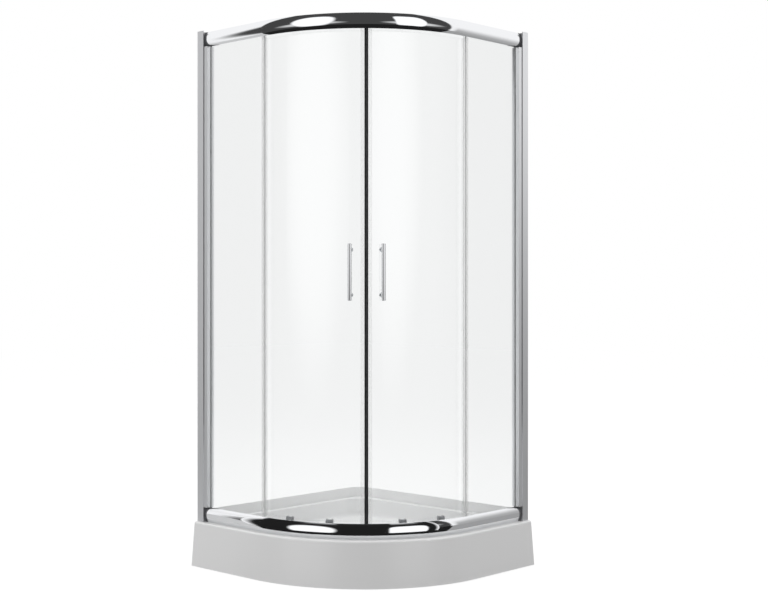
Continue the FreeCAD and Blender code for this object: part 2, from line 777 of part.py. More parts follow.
def fixed_glass():
    return box(arc_centre + fixed_glass_inner, arc_centre + fixed_glass_face, -straight,
               -(pocket_floor + gasket_wall + pane_end_gap),
               rim + glass_edge_height, rail_top - glass_edge_height)


def fixed_edge_seal():
    """U on the free edge of the fixed pane, with a fin towards the door."""
    glass_x = arc_centre + fixed_glass_inner
    around = seal_fit + seal_wall
    grip = edge_seal_width - edge_seal_grip
    body = box(glass_x - around, glass_x + glass + around, -straight - around, -straight + grip,
               seal_low, seal_high)
    slot = box(glass_x - seal_fit, glass_x + glass + seal_fit, -straight - seal_fit, -straight + grip + over,
               seal_low - over, seal_high + over)
    fin = box(glass_x - fixed_fin_length, glass_x - around, -straight - around,
              -straight - around + seal_fin, seal_low, seal_high)
    return body.cut(slot).fuse(fin).removeSplitter()


# ---------------------------------------------------------------- door
door_low = rim + door_bottom_gap
door_high = rail_top - door_top_gap
top_axle_height = rail_top - ledge_depth + wheel_gap + wheel_radius
bottom_axle_height = rim + ledge_depth - wheel_gap - wheel_radius
bottom_boss_height = bottom_axle_height - release_travel / 2
handle_height = rim + handle_centre_height
handle_posts = (handle_height - handle_post_spacing / 2, handle_height + handle_post_spacing / 2)
middle_distance = door_glass_face - glass / 2
seal_inner = door_glass_inner - seal_fit - seal_wall
seal_outer = door_glass_face + seal_fit + seal_wall


def along_door(length):
    """Angle that a length along the door's glass spans."""
    return math.degrees(length / middle_distance)


magnet_start = along_door(door_seam_gap / 2)
carrier_start = magnet_start + along_door(magnet_width)
glass_start = carrier_start + along_door(seal_wall + seal_fit)


def radial_rod(radius, d0, d1, z, angle):
    """A round bar that points out from the arc's centre."""
    return onto_curve(Part.makeCylinder(radius, d1 - d0, vec(d0, 0, z), OUT), angle)


def radial_box(d0, d1, across, z0, z1, angle):
    return onto_curve(box(d0, d1, -across / 2, across / 2, z0, z1), angle)


def glass_hole(radius, z, angle):
    return radial_rod(radius, door_glass_inner - glass, door_glass_face + glass, z, angle)


def door_glass():
    pane = curved_band(door_glass_inner, door_glass_face, door_low, door_high, glass_start, door_end_angle)
    holes = [glass_hole(handle_hole_radius, z, handle_angle) for z in handle_posts]
    for angle in roller_angles:
        holes.append(glass_hole(top_boss_radius + boss_fit, top_axle_height, angle))
        holes.append(glass_hole(bottom_boss_radius + boss_fit, bottom_boss_height, angle))
    return pane.cut(holes)


def magnet_strip():
    return curved_band(middle_distance - magnet_depth / 2, middle_distance + magnet_depth / 2,
                       door_low, door_high, magnet_start, carrier_start)


def magnet_carrier():
    """Clear U on the door's leading edge that holds the magnetic strip."""
    end = carrier_start + along_door(carrier_width)
    outer = curved_band(seal_inner, seal_outer, door_low, door_high, carrier_start, end)
    slot = curved_band(door_glass_inner - seal_fit, door_glass_face + seal_fit, door_low - over,
                       door_high + over, glass_start - along_door(seal_fit), end + over)
    return outer.cut(slot)


def door_edge_seal():
    """U on the trailing edge, with a fin that meets the fixed pane's seal when shut."""
    start = door_end_angle - along_door(edge_seal_width - edge_seal_grip)
    end = door_end_angle + along_door(seal_fit + seal_wall)
    outer = curved_band(seal_inner, seal_outer, seal_low, seal_high, start, end)
    slot = curved_band(door_glass_inner - seal_fit, door_glass_face + seal_fit, seal_low - over,
                       seal_high + over, start - over, door_end_angle + along_door(seal_fit))
    fin = curved_band(seal_outer - seal_fit, fixed_glass_inner - door_fin_gap, seal_low, seal_high,
                      end - along_door(seal_fin), end)
    return outer.cut(slot).fuse(fin).removeSplitter()


def handle():
    """Round bar outside the glass, on two posts that pass through it to the caps inside."""
    bar_distance = door_glass_face + finger_gap + handle_radius
    bar = Part.makeCylinder(handle_radius, handle_length,
                            vec(bar_distance, 0, handle_height - handle_length / 2), UP)
    end_edges = [edge for edge in bar.Edges if edge.BoundBox.ZLength < handle_edge]
    bar = bar.makeChamfer(handle_edge, end_edges)
    start = door_glass_inner - block_fit
    posts = [Part.makeCylinder(handle_post_radius, bar_distance - start, vec(start, 0, z), OUT)
             for z in handle_posts]
    return onto_curve(bar.fuse(posts), handle_angle)


def handle_fittings():
    """A cap inside the glass on the end of each handle post."""
    end = door_glass_inner - block_fit
    caps = [radial_rod(handle_cap_radius, end - handle_cap, end, z, handle_angle) for z in handle_posts]
    return group(caps)


# ---------------------------------------------------------------- rollers
housing_low = rim + bottom_block_low
housing_high = rim + bottom_block_high
block_inner = door_glass_inner - block_depth
slide_outer = door_glass_inner - slide_inset
slide_inner = slide_outer - slide_depth
clamp_outer = door_glass_face + block_fit + clamp_wall
wheel_near = wheel_track - wheel_width / 2
wheel_far = wheel_track + wheel_width / 2


def block_body(angle, low, high):
    """Moulded block against the curved inside of the glass, with bevelled inner edges."""
    body = box(block_inner, door_glass_face, -block_width / 2, block_width / 2, low, high)
    inner_edges = [edge for edge in body.Edges if edge.BoundBox.XMax < block_inner + over]
    body = onto_curve(body.makeChamfer(block_edge, inner_edges), angle)
    side = along_door(block_width)
    beyond = curved_band(door_glass_inner - block_fit, door_glass_face + glass, low - over, high + over,
                         angle - side, angle + side)
    return body.cut(beyond)


def clamped_boss(radius, z, angle):
    """Round boss through the glass, with the flange outside that draws its block to the glass."""
    boss = radial_rod(radius, door_glass_inner - block_fit - boss_root, clamp_outer, z, angle)
    flange = radial_rod(radius + clamp_margin, door_glass_face + block_fit, clamp_outer, z, angle)
    return boss.fuse(flange)


def axle(root, z, angle):
    """Axle from its root to just beyond the wheel, thicker up to the wheel's inner side."""
    step = wheel_near - side_play
    thick = radial_rod(axle_shoulder_radius, root, step, z, angle)
    return thick.fuse(radial_rod(axle_radius, step, wheel_far + side_play + axle_end, z, angle))


def wheel(z, angle):
    """Nylon wheel with its bore."""
    bore = radial_rod(axle_radius + axle_clearance, wheel_near - over, wheel_far + over, z, angle)
    return radial_rod(wheel_radius, wheel_near, wheel_far, z, angle).cut(bore)


def top_roller_block(angle):
    half = top_block_height / 2
    body = block_body(angle, top_axle_height - half, top_axle_height + half)
    return body.fuse(clamped_boss(top_boss_radius, top_axle_height, angle)).removeSplitter()


def ear(side):
    """One of the two ears of a bottom housing, drawn on the +X axis."""
    outer = side * block_width / 2
    inner = side * (slide_width / 2 + slide_fit)
    body = box(block_inner + ear_inset, door_glass_inner - ear_inset, min(outer, inner), max(outer, inner),
               housing_high - ear_root, housing_high + ear_height)
    top_edges = [edge for edge in body.Edges
                 if edge.BoundBox.ZMin > housing_high and edge.BoundBox.XLength > over]
    return body.makeChamfer(ear_edge, top_edges)


def bottom_roller_block(angle):
    """Housing with two ears at its top and a boss through the glass, slotted for the axle."""
    ears = [onto_curve(ear(side), angle) for side in (-1, 1)]
    whole = block_body(angle, housing_low, housing_high)
    whole = whole.fuse(ears + [clamped_boss(bottom_boss_radius, bottom_boss_height, angle)])
    half = release_travel / 2 + axle_shoulder_radius + axle_slot_fit
    slot = radial_box(slide_outer, clamp_outer + over, 2 * (axle_shoulder_radius + axle_slot_fit),
                      bottom_boss_height - half, bottom_boss_height + half, angle)
    channel = radial_box(slide_inner - slide_fit, slide_outer + slide_fit, slide_width + 2 * slide_fit,
                         housing_low - over, housing_high + ear_height + over, angle)
    return whole.cut([channel, slot]).removeSplitter()


def bottom_roller_slide(angle):
    """Quick-release slide: plate in the housing, button above it, axle through the glass."""
    plate = radial_box(slide_inner, slide_outer, slide_width, housing_low + release_travel + slide_low,
                       housing_high + button_height, angle)
    return plate.fuse(axle(slide_outer, bottom_axle_height, angle))


# ---------------------------------------------------------------- write every piece
def main():
    keep("tray_shell", tray_shell())
    keep("tray_base_panel", tray_base_panel())
    keep("foot_brackets", foot_brackets())
    keep("foot_studs", foot_studs())
    keep("foot_nuts", foot_nuts())
    keep("foot_pads", foot_pads())
    keep("waste_body", waste_body())
    keep("waste_gasket", waste_gasket())
    keep("waste_flange", waste_flange())
    keep("waste_cup", waste_cup())
    keep("drain_cover", drain_cover())

    keep_pair("wall_profile", wall_profile())
    keep_pair("jamb", jamb())
    gasket = glazing_gasket()
    keep("glazing_gaskets", group([gasket, mirrored(gasket)]))
    screws = [jamb_screw(height) for height in jamb_screw_heights]
    keep("jamb_screws", group(screws + [mirrored(one) for one in screws]))
    caps = [jamb_screw_cap(height) for height in jamb_screw_heights]
    keep("jamb_screw_caps", group(caps + [mirrored(one) for one in caps]))

    keep("top_rail", at_height(rail(), rail_top))
    keep("bottom_rail", at_height(flipped(rail()), rim))
    keep_pair("rail_connector_top", at_height(connector(), rail_top))
    keep_pair("rail_connector_bottom", at_height(flipped(connector()), rim))
    top_stop = at_height(rail_stop(), rail_top)
    bottom_stop = at_height(flipped(rail_stop()), rim)
    keep("rail_stops", group([top_stop, bottom_stop, mirrored(top_stop), mirrored(bottom_stop)]))

    keep_pair("fixed_glass", fixed_glass())
    keep_pair("fixed_edge_seal", fixed_edge_seal())

    keep_pair("door_glass", door_glass())
    keep_pair("magnet_strip", magnet_strip())
    keep_pair("magnet_carrier", magnet_carrier())
    keep_pair("door_edge_seal", door_edge_seal())
    keep_pair("handle", handle())
    keep_pair("handle_fittings", handle_fittings())
    keep_pair("top_roller_blocks", group([top_roller_block(angle) for angle in roller_angles]))
    keep_pair("top_roller_axles", group([axle(clamp_outer, top_axle_height, a) for a in roller_angles]))
    keep_pair("bottom_roller_blocks", group([bottom_roller_block(angle) for angle in roller_angles]))
    for place, angle in zip(("inner", "outer"), roller_angles):
        keep_pair("release_slide_" + place, bottom_roller_slide(angle))
        keep_pair("top_wheel_" + place, wheel(top_axle_height, angle))
        keep_pair("bottom_wheel_" + place, wheel(bottom_axle_height, angle))


main()
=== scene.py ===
# %% [markdown]
# A quadrant shower enclosure: two flat panes and two curved sliding doors of clear glass between
# chrome rails, on a low white tray. The solid model gives every rigid piece in its place, so this
# script dresses those pieces, adds the small ones a solid model leaves out, and sets up the studio.

# %% Load the solid model
import json
import math

import bmesh
import bpy
import numpy as np
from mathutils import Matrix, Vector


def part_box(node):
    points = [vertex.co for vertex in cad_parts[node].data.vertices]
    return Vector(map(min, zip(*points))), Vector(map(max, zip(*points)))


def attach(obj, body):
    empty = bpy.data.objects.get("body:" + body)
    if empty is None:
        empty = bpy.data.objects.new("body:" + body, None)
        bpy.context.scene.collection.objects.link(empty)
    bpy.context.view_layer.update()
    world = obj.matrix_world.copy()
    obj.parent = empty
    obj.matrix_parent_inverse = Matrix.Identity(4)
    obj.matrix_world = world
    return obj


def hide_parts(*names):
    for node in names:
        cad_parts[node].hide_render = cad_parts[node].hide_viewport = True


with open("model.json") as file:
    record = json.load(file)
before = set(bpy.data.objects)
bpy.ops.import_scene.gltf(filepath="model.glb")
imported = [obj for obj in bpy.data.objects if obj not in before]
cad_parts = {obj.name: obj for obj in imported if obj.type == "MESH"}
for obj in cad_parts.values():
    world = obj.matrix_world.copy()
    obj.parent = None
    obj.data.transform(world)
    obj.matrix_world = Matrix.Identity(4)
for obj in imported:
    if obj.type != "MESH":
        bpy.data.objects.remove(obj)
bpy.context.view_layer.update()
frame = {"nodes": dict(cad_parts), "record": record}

MM = 0.001
nodes = frame["nodes"]

# %% [markdown]
# A colour is easiest to choose as the hex value of a paint program, but a shader computes with
# light, which is linear. One function turns the one into the other.

# %% Colours


def linear(colour):
    """Red, green and blue in linear light, from an sRGB hex value such as #F2F3F3."""
    value = np.array([int(colour[i:i + 2], 16) for i in (1, 3, 5)]) / 255
    light = np.where(value <= 0.04045, value / 12.92, ((value + 0.055) / 1.055) ** 2.4)
    return (*light.tolist(), 1.0)


print("#808080 is", round(linear("#808080")[0], 3), "of white in linear light")

# %% [markdown]
# A material is a small graph. One helper adds a node with its settings, and gives each input
# either a plain value or a link from an earlier node.

# %% Nodes


def new_tree(name):
    """An empty material with its output node; returns the material and its graph."""
    material = bpy.data.materials.new(name)
    material.use_nodes = True
    material.node_tree.nodes.clear()
    return material, material.node_tree


def add(tree, kind, inputs=None, **settings):
    """One node of this kind in the graph; inputs maps a socket's name to a value or a link."""
    node = tree.nodes.new(kind)
    for name, value in settings.items():
        setattr(node, name, value)
    for name, value in (inputs or {}).items():
        if isinstance(value, bpy.types.NodeSocket):
            tree.links.new(value, node.inputs[name])
        else:
            node.inputs[name].default_value = value
    return node


# %% [markdown]
# The camera repeats the photograph's view: a longish lens about 5.7 m away, at the height of a
# person's chest, held level and aimed straight at the curved front. Its values come from a fit to
# measured edges, and it was then moved a little sideways, until the doors' seam and the
# handles lay in place too. The room's corner is at -X +Y, so the camera stands at +X -Y. A level
# camera keeps the upright profiles upright, and a lens shift puts the enclosure where it is in the
# frame.

# %% Camera
IMAGE_WIDTH = 768.0                     # pixels, as are the next four
IMAGE_HEIGHT = 602.0
FOCAL_PIXELS = 1343.2
PRINCIPAL_X = 342.1
PRINCIPAL_Y = 289.2
SENSOR = 36.0                           # mm
CORNER = (-457.5 * MM, 457.5 * MM)      # the room's corner in the model's frame
CAMERA_SIDEWAYS = -160.0 * MM           # right of the diagonal of the corner
CAMERA_DISTANCE = 5715.3 * MM           # out from the corner along the diagonal
CAMERA_HEIGHT = 1041.4 * MM
CAMERA_TURN = 0.0158                    # radians to the right of the diagonal

diagonal_right = np.array([1.0, 1.0, 0.0]) / math.sqrt(2)
diagonal_out = np.array([1.0, -1.0, 0.0]) / math.sqrt(2)


def place_camera():
    """Level camera whose forward direction is minus the diagonal, turned a little about Z."""
    data = bpy.data.cameras.new("camera")
    data.sensor_width = SENSOR
    data.lens = SENSOR * FOCAL_PIXELS / IMAGE_WIDTH
    data.shift_x = (IMAGE_WIDTH / 2 - PRINCIPAL_X) / IMAGE_WIDTH
    data.shift_y = (PRINCIPAL_Y - IMAGE_HEIGHT / 2) / IMAGE_WIDTH
    camera = bpy.data.objects.new("camera", data)
    spot = CAMERA_SIDEWAYS * diagonal_right + CAMERA_DISTANCE * diagonal_out
    camera.location = (CORNER[0] + spot[0], CORNER[1] + spot[1], CAMERA_HEIGHT)
    forward = math.sin(CAMERA_TURN) * diagonal_right - math.cos(CAMERA_TURN) * diagonal_out
    camera.rotation_euler = (math.pi / 2, 0, math.atan2(-forward[0], forward[1]))
    bpy.context.scene.collection.objects.link(camera)
    bpy.context.scene.camera = camera
    return camera


camera = place_camera()
print("camera at", tuple(round(v, 3) for v in camera.location), "lens", round(camera.data.lens, 2))

# %% [markdown]
# Polished chrome has no colour of its own: it shows the studio. In the photograph the curved
# rails are charcoal with one bright window left and one right of the middle, and the straight
# rail ends are light. So a dark wall stands round the front, seen only in reflections, with two
# soft-edged windows in it, and past its ends the studio is white. A low inner wall of the same
# kind serves the bottom rail, which looks at the floor as much as at the room.
#
# The glass is a far weaker mirror, and those windows would draw bright arches on it. So it is shown
# other lights, a dim surround with one soft light for each door, which no real studio could do. The
# walls know a ray from the glass because it comes from a perfectly sharp mirror.

# %% Studio values
FLOOR_SIZE = 30.0
FLOOR_COLOUR = "#898989"
FLOOR_GLOW = 0.81             # lifts the floor to white for the camera and leaves its shadow
BACKGROUND = 1.0              # white, as the camera, metal and glass see it
AMBIENT = 0.76                # what the plain surroundings give every surface
WINDOW_GLOW = 1.15
SIDE_FLOOR_GLOW = (0.62, 0.36)   # the floor beside the object, as metal sees it, left and right
ARC_FROM_WALLS = 350 * MM
ARC_CENTRE = np.array([CORNER[0] + ARC_FROM_WALLS, CORNER[1] - ARC_FROM_WALLS, 0.0])   # of the front

# Angles are in degrees from the diagonal, positive to the right, heights and radii in metres.
# A window is (left, right, low, high, roundness): 2 gives an ellipse, more a squarer shape.
# Over the depth clear_top the top of a wall thins out to nothing.
OUTER_WALL = {"radius": 5.75, "high": 22.0, "clear_top": 0.0, "ends": (-91.7, 73.5), "fade": 3.0,
              "dark": 0.06, "in_glass": 1.0,
              "windows": ((-61.0, -21.0, -0.6, 7.6, 2.2), (23.0, 50.5, -0.4, 7.2, 4.0)),
              "veils": ((-78.0, -8.0, 0.5, 2.9, 2.0), (8.0, 70.0, 0.5, 2.9, 2.0))}
INNER_WALL = {"radius": 1.05, "high": 1.10, "clear_top": 0.5, "ends": (-75.0, 47.0), "fade": 3.0,
              "dark": 0.015, "in_glass": 0.0,
              "windows": ((-50.0, -15.5, -0.15, 0.50, 2.2), (13.5, 40.0, -0.12, 0.48, 4.0)),
              "veils": ()}
LEFT_WALL = {"radius": 5.76, "high": 3.1, "clear_top": 2.8, "ends": (-140.0, -91.0), "fade": 12.0,
             "dark": 0.72, "in_glass": 1.0, "windows": (), "veils": ()}
RIGHT_WALL = {"radius": 5.76, "high": 3.1, "clear_top": 2.8, "ends": (73.0, 140.0), "fade": 12.0,
              "dark": 0.42, "in_glass": 1.0, "windows": (), "veils": ()}
VEIL_GLOW = 0.8               # wide soft light at the height of the glass

# The soft lights in the glass are (middle, half width) in degrees, (middle, half height) in metres.
GLASS_DARK = 0.15
GLASS_GLOW = 0.45
GLASS_LIGHT = 1.7
GLASS_LIGHTS = (((-42.0, 34.0), (2.1, 2.1)), ((24.0, 28.0), (2.1, 2.1)))
GLASS_FRONT = (84.0, 52.0)    # degrees from the middle between which the front brightens
GLASS_FRONT_HIGH = 1.5        # metres up to which it does
ROUND = 2.0                   # an ellipse
WINDOW_FULL = 0.55            # |x|^n + |y|^n below which a window has its full glow
VEIL_FULL = 0.0
print("walls at", [wall["radius"] for wall in (OUTER_WALL, INNER_WALL, LEFT_WALL, RIGHT_WALL)], "m")

# %% [markdown]
# The plain surroundings light the object evenly, at a little less than full, so that white stays
# below clipping. The camera, metal and glass see them as full white instead. Light Path tells
# which kind of ray asks.

# %% World


def light_ray(tree):
    """1 for a camera, mirror or glass ray, which sees the plain background."""
    path = add(tree, "ShaderNodeLightPath")
    seen = add(tree, "ShaderNodeMath", {0: path.outputs["Is Camera Ray"],
                                        1: path.outputs["Is Glossy Ray"]}, operation="MAXIMUM")
    return add(tree, "ShaderNodeMath", {0: seen.outputs[0],
                                        1: path.outputs["Is Transmission Ray"]},
               operation="MAXIMUM").outputs[0]


def make_world():
    world = bpy.data.worlds.new("studio")
    world.use_nodes = True
    tree = world.node_tree
    tree.nodes.clear()
    level = add(tree, "ShaderNodeMapRange", {"Value": light_ray(tree), "To Min": AMBIENT,
                                             "To Max": BACKGROUND})
    glow = add(tree, "ShaderNodeBackground", {"Color": (1, 1, 1, 1),
                                              "Strength": level.outputs["Result"]})
    add(tree, "ShaderNodeOutputWorld", {"Surface": glow.outputs[0]})
    bpy.context.scene.world = world


make_world()
print("surroundings:", AMBIENT, "for surfaces,", BACKGROUND, "for the camera")

# %% [markdown]
# Every new surface is a grid of points worked out by a formula, with quads between them. The front
# of the enclosure is a quarter circle with straight ends, so one function gives a place round it
# from an angle, a run past the curve's ends, a distance and a height. The studio's walls use it,
# and the rails' plating does later.

# %% Grids, and places round the front


def grid_mesh(name, points, closed_u=False, closed_v=False):
    """Quads over a grid of points of shape (rows, columns, 3); a closed direction wraps round."""
    rows, columns = points.shape[:2]
    i = np.arange(rows if closed_u else rows - 1)[:, None]
    j = np.arange(columns if closed_v else columns - 1)[None, :]
    after_i = (i + 1) % rows
    after_j = (j + 1) % columns
    corners = [i * columns + j, after_i * columns + j, after_i * columns + after_j, i * columns + after_j]
    quads = np.stack([np.broadcast_to(c, (i.size, j.size)) for c in corners], axis=-1).reshape(-1, 4)
    mesh = bpy.data.meshes.new(name)
    mesh.from_pydata(points.reshape(-1, 3).tolist(), [], quads.tolist())
    mesh.shade_smooth()
    return mesh


def new_object(name, mesh, material):
    """An object at the origin, unturned, with its place in its mesh."""
    mesh.materials.append(material)
    made = bpy.data.objects.new(name, mesh)
    bpy.context.scene.collection.objects.link(made)
    return made


def only_in_reflections(sheet):
    sheet.visible_camera = False
    sheet.visible_diffuse = False
    sheet.visible_transmission = False
    sheet.visible_volume_scatter = False
    sheet.visible_shadow = False


def along_front(angle, run, distance, height):
    """Points round the front: centre + run along the tangent + distance outwards + height up.
    The angle is from the diagonal; past the curve's ends it stays at 45 degrees and run grows."""
    turn = np.radians(angle)[..., None]
    outwards = np.cos(turn) * diagonal_out + np.sin(turn) * diagonal_right
    onwards = -np.sin(turn) * diagonal_out + np.cos(turn) * diagonal_right
    up = np.array([0.0, 0.0, 1.0])
    return (ARC_CENTRE + np.asarray(run)[..., None] * onwards
            + np.asarray(distance)[..., None] * outwards + np.asarray(height)[..., None] * up)


print("arc's centre at", ARC_CENTRE.round(4).tolist())

# %% [markdown]
# A wall's glow is drawn by its material and not by a picture. Object coordinates give the angle
# round the arc's centre and the height, and a window is where |x|^n + |y|^n stays below 1, with x
# and y running from -1 to 1 across it. One formula so gives an ellipse or a rounded square, with a
# soft edge.

# %% Glow of the walls


def smooth_step(tree, value, low, high):
    """0 below low, 1 above high, and a soft change between."""
    return add(tree, "ShaderNodeMapRange", {"Value": value, "From Min": low, "From Max": high},
               interpolation_type="SMOOTHSTEP").outputs["Result"]


def times(tree, a, b):
    return add(tree, "ShaderNodeMath", {0: a, 1: b}, operation="MULTIPLY").outputs[0]


def rounded_glow(tree, angle, height, window, full):
    """1 inside |x|^n + |y|^n = 1, fading over its edge, where x and y run from -1 to 1."""
    left, right, low, high, roundness = window
    x = add(tree, "ShaderNodeMapRange", {"Value": angle, "From Min": math.radians(left), "To Min": -1.0,
                                         "From Max": math.radians(right)}, clamp=False).outputs["Result"]
    y = add(tree, "ShaderNodeMapRange", {"Value": height, "From Min": low, "From Max": high,
                                         "To Min": -1.0}, clamp=False).outputs["Result"]
    powers = []
    for side in (x, y):
        size = add(tree, "ShaderNodeMath", {0: side}, operation="ABSOLUTE").outputs[0]
        powers.append(add(tree, "ShaderNodeMath", {0: size, 1: roundness}, operation="POWER").outputs[0])
    total = add(tree, "ShaderNodeMath", {0: powers[0], 1: powers[1]}, operation="ADD").outputs[0]
    return smooth_step(tree, total, 1.0, full)


def glass_view(tree, angle, height):
    """What a perfectly sharp reflection, so that of the glass, sees: dim at the sides, brighter
    in front, and a soft round light for each door."""
    size = add(tree, "ShaderNodeMath", {0: angle}, operation="ABSOLUTE").outputs[0]
    front = times(tree, smooth_step(tree, size, *map(math.radians, GLASS_FRONT)),
                  smooth_step(tree, height, 0.0, GLASS_FRONT_HIGH))
    view = add(tree, "ShaderNodeMapRange", {"Value": front, "To Min": GLASS_DARK,
                                            "To Max": GLASS_GLOW}).outputs["Result"]
    for (middle, half_width), (level, half_height) in GLASS_LIGHTS:
        window = (middle - half_width, middle + half_width,
                  level - half_height, level + half_height, ROUND)
        light = times(tree, rounded_glow(tree, angle, height, window, VEIL_FULL), GLASS_LIGHT)
        view = add(tree, "ShaderNodeMath", {0: view, 1: light}, operation="ADD").outputs[0]
    return view


def wall_glow(name, wall):
    """Dark wall whose windows glow: the angle round the arc's centre comes from the mesh's place."""
    material, tree = new_tree(name)
    place = add(tree, "ShaderNodeTexCoord").outputs["Object"]
    arm = add(tree, "ShaderNodeVectorMath", {0: place, 1: tuple(ARC_CENTRE)}, operation="SUBTRACT").outputs[0]
    right = add(tree, "ShaderNodeVectorMath", {0: arm, 1: tuple(diagonal_right)}, operation="DOT_PRODUCT")
    out = add(tree, "ShaderNodeVectorMath", {0: arm, 1: tuple(diagonal_out)}, operation="DOT_PRODUCT")
    angle = add(tree, "ShaderNodeMath", {0: right.outputs["Value"], 1: out.outputs["Value"]},
                operation="ARCTAN2").outputs[0]
    height = add(tree, "ShaderNodeSeparateXYZ", {0: place}).outputs["Z"]
    glows = [times(tree, rounded_glow(tree, angle, height, window, WINDOW_FULL), WINDOW_GLOW)
             for window in wall["windows"]]
    glows += [times(tree, rounded_glow(tree, angle, height, veil, VEIL_FULL), VEIL_GLOW)
              for veil in wall["veils"]]
    for end, inwards in zip(wall["ends"], (1, -1)):
        edge = math.radians(end)
        past = smooth_step(tree, angle, edge + inwards * math.radians(wall["fade"]), edge)
        glows.append(times(tree, past, BACKGROUND))
    strength = wall["dark"]
    for glow in glows:
        strength = add(tree, "ShaderNodeMath", {0: strength, 1: glow}, operation="MAXIMUM").outputs[0]
    sharp = add(tree, "ShaderNodeLightPath").outputs["Is Singular Ray"]
    seen = add(tree, "ShaderNodeMix", {0: sharp, 2: strength, 3: glass_view(tree, angle, height)})
    shine = add(tree, "ShaderNodeEmission", {"Color": (1, 1, 1, 1), "Strength": seen.outputs[0]})
    nothing = add(tree, "ShaderNodeBsdfTransparent")
    solid = smooth_step(tree, height, wall["high"] + MM, wall["high"] - wall["clear_top"])
    solid = add(tree, "ShaderNodeMix", {0: sharp, 2: solid, 3: wall["in_glass"]}).outputs[0]
    shown = add(tree, "ShaderNodeMixShader", {0: solid, 1: nothing.outputs[0], 2: shine.outputs[0]})
    add(tree, "ShaderNodeOutputMaterial", {"Surface": shown.outputs[0]})
    return material


def plain_glow(name, strength):
    """Even glow, and dim in the glass, as the walls are there."""
    material, tree = new_tree(name)
    sharp = add(tree, "ShaderNodeLightPath").outputs["Is Singular Ray"]
    seen = add(tree, "ShaderNodeMix", {0: sharp, 2: strength, 3: GLASS_DARK}).outputs[0]
    shine = add(tree, "ShaderNodeEmission", {"Color": (1, 1, 1, 1), "Strength": seen})
    add(tree, "ShaderNodeOutputMaterial", {"Surface": shine.outputs[0]})
    return material


# %% [markdown]
# The walls are parts of cylinders round the arc's centre. The floor beside the object has glowing
# sheets of its own, because the rails mirror it too. Only mirrors see any of these. The floor that
# the camera sees is matt, with a glow that lifts it to white and leaves the object's shadow.

# %% Walls and floor
WALL_STEPS = 60
SHEET_STEPS = 40
SHEET_HEIGHT = 1.0 * MM       # of the glowing sheets over the floor
RING_START = 0.60             # metres from the arc's centre
RING_STEPS = 16
BEHIND = 180.0                # degrees from the diagonal, and a full turn
FULL_TURN = 360.0


def studio_wall(name, wall):
    """Part of a cylinder round the arc's centre."""
    angle, height = np.meshgrid(np.linspace(*wall["ends"], WALL_STEPS), np.array([0.0, wall["high"]]),
                                indexing="ij")
    mesh = grid_mesh(name, along_front(angle, 0 * angle, np.full(angle.shape, wall["radius"]), height))
    only_in_reflections(new_object(name, mesh, wall_glow(name, wall)))


# Where the dark ends, as the rails see it: a point on the rail (right, out) from the arc's centre in
# metres, and the direction in which the mirrored ray leaves it, in degrees.
DARK_EDGES = (((-0.435, 0.343), -94.5), ((0.322, 0.446), 77.0))


def edge_angle(edge, radius):
    """Angle at which a ray from a point P along the unit direction e meets a circle of this radius:
    P + t e, with t = -P.e + sqrt((P.e)^2 - |P|^2 + radius^2)."""
    (right, out), direction = edge
    turn = math.radians(direction)
    along = right * math.sin(turn) + out * math.cos(turn)
    t = -along + np.sqrt(along ** 2 - right ** 2 - out ** 2 + radius ** 2)
    return np.degrees(np.arctan2(right + t * math.sin(turn), out + t * math.cos(turn)))


def floor_sector(name, starts, ends, radius, strength):
    """Part of a flat ring round the object, a little above the floor, between two angles that
    may change with the radius."""
    share = np.linspace(0, 1, SHEET_STEPS)[:, None]
    angle = starts[None, :] * (1 - share) + ends[None, :] * share
    distance = np.broadcast_to(radius, angle.shape)
    height = np.full(angle.shape, SHEET_HEIGHT)
    mesh = grid_mesh(name, along_front(angle, 0 * angle, distance, height))
    only_in_reflections(new_object(name, mesh, plain_glow(name, strength)))


def floor_material():
    """Matt floor, with a glow towards the camera so that it reads white and keeps its shadow."""
    material, tree = new_tree("studio floor, matt")
    matt = add(tree, "ShaderNodeBsdfDiffuse", {"Color": linear(FLOOR_COLOUR)})
    glow = add(tree, "ShaderNodeEmission", {"Color": (1, 1, 1, 1), "Strength": FLOOR_GLOW})
    both = add(tree, "ShaderNodeAddShader", {0: matt.outputs[0], 1: glow.outputs[0]})
    shown = add(tree, "ShaderNodeMixShader", {0: light_ray(tree), 1: matt.outputs[0], 2: both.outputs[0]})
    add(tree, "ShaderNodeOutputMaterial", {"Surface": shown.outputs[0]})
    return material


def floor_sheet():
    side = np.linspace(-FLOOR_SIZE / 2, FLOOR_SIZE / 2, 2)
    x, y = np.meshgrid(side, side, indexing="ij")
    mesh = grid_mesh("studio_floor", np.stack([x, y, np.zeros_like(x)], axis=-1))
    new_object("studio_floor", mesh, floor_material())


floor_sheet()
ring = np.geomspace(RING_START, OUTER_WALL["radius"], RING_STEPS)
left_edge = edge_angle(DARK_EDGES[0], ring)
right_edge = edge_angle(DARK_EDGES[1], ring)
behind = np.full(ring.shape, BEHIND)
floor_sector("studio_dark_floor", left_edge, right_edge, ring, INNER_WALL["dark"])
floor_sector("studio_left_floor", behind, left_edge + FULL_TURN, ring, SIDE_FLOOR_GLOW[0])
floor_sector("studio_right_floor", right_edge, behind, ring, SIDE_FLOOR_GLOW[1])
studio_wall("studio_outer_wall", OUTER_WALL)
studio_wall("studio_inner_wall", INNER_WALL)
studio_wall("studio_left_wall", LEFT_WALL)
studio_wall("studio_right_wall", RIGHT_WALL)
print("dark floor from", left_edge[0].round(1), "to", right_edge[0].round(1), "degrees at the object")

# %% [markdown]
# Three soft square lamps light the object, one from above and behind and one from each side, of
# which the left is the stronger. Mirrors and glass don't see them, because the walls already give
# the rails what they show.

